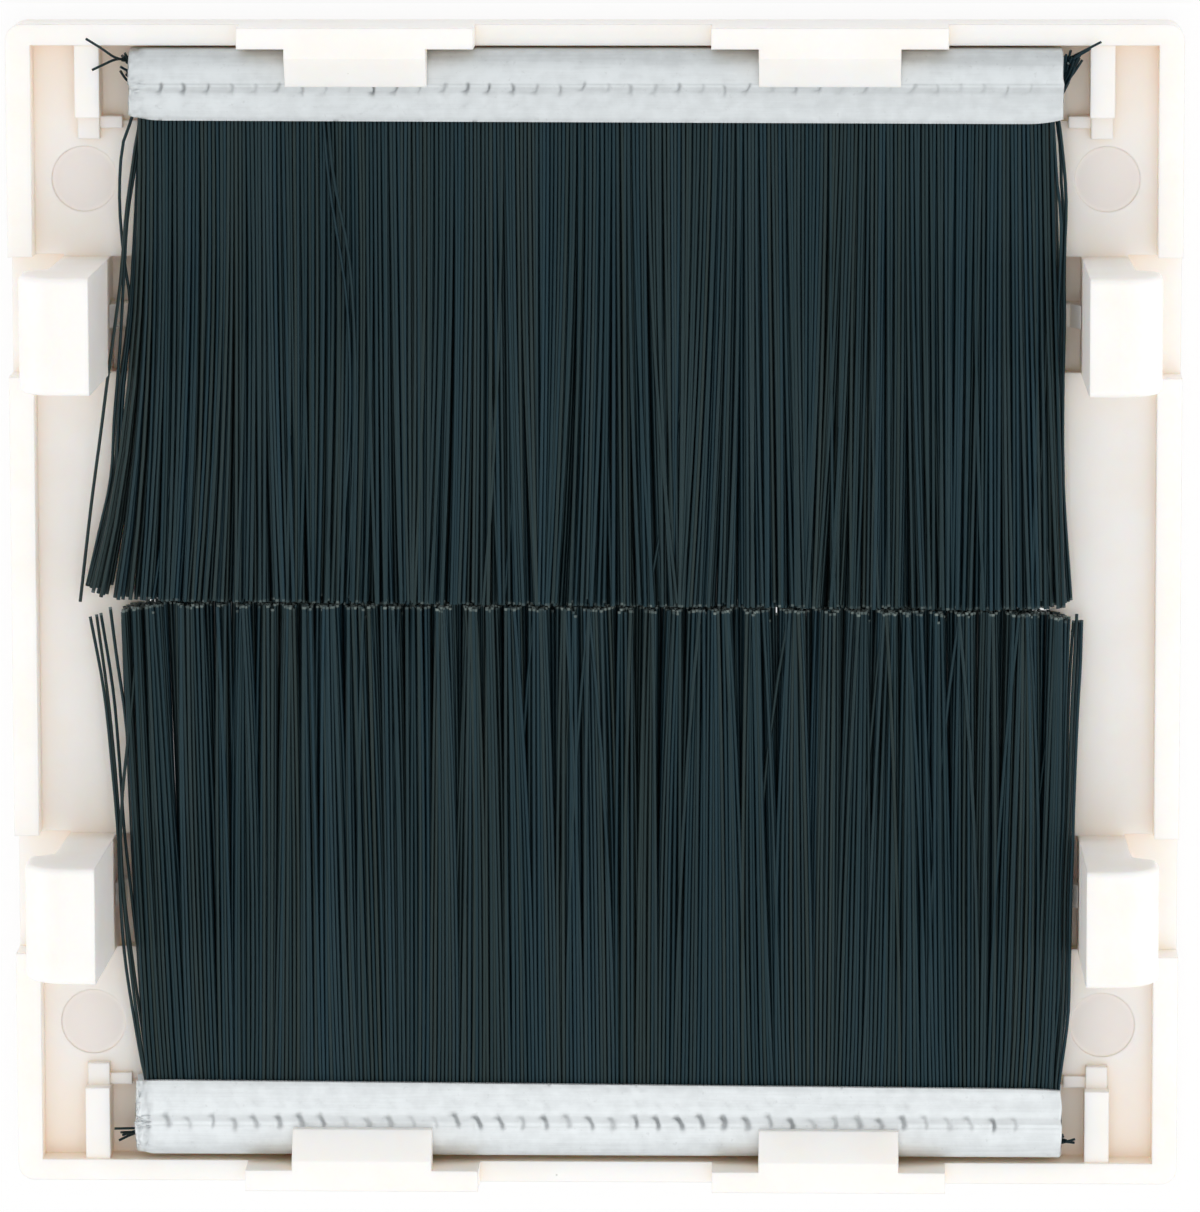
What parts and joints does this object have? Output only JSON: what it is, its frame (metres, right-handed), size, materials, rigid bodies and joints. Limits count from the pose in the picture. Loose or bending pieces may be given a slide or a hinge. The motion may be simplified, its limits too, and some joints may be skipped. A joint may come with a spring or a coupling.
{
  "type": "brush cable entry module",
  "caption": "Square snap-in module for a wall plate, whose window is closed by two facing strip brushes that let cables through.",
  "frame": {"origin": "middle of the flat front face, on the plane that it rests on", "axes": "+Z out of the back, the way the clips point; +Y from the window's middle to the upper brush's channel; +X to the right when seen from the back"},
  "size_m": [0.05, 0.05, 0.0109],
  "materials": {
    "frame_plastic": "warm white moulded plastic, fine satin",
    "channel_metal": "zinc-plated strip, dull, with crimp marks",
    "core_wire": "plain drawn wire",
    "bristle_nylon": "black nylon filament, half gloss"
  },
  "bodies": {
    "root": {"frame": "frame_plastic", "upper_channel": "channel_metal", "lower_channel": "channel_metal", "upper_core_wire": "core_wire", "lower_core_wire": "core_wire", "upper_bristles": "bristle_nylon", "lower_bristles": "bristle_nylon"}
  },
  "joints": []
}
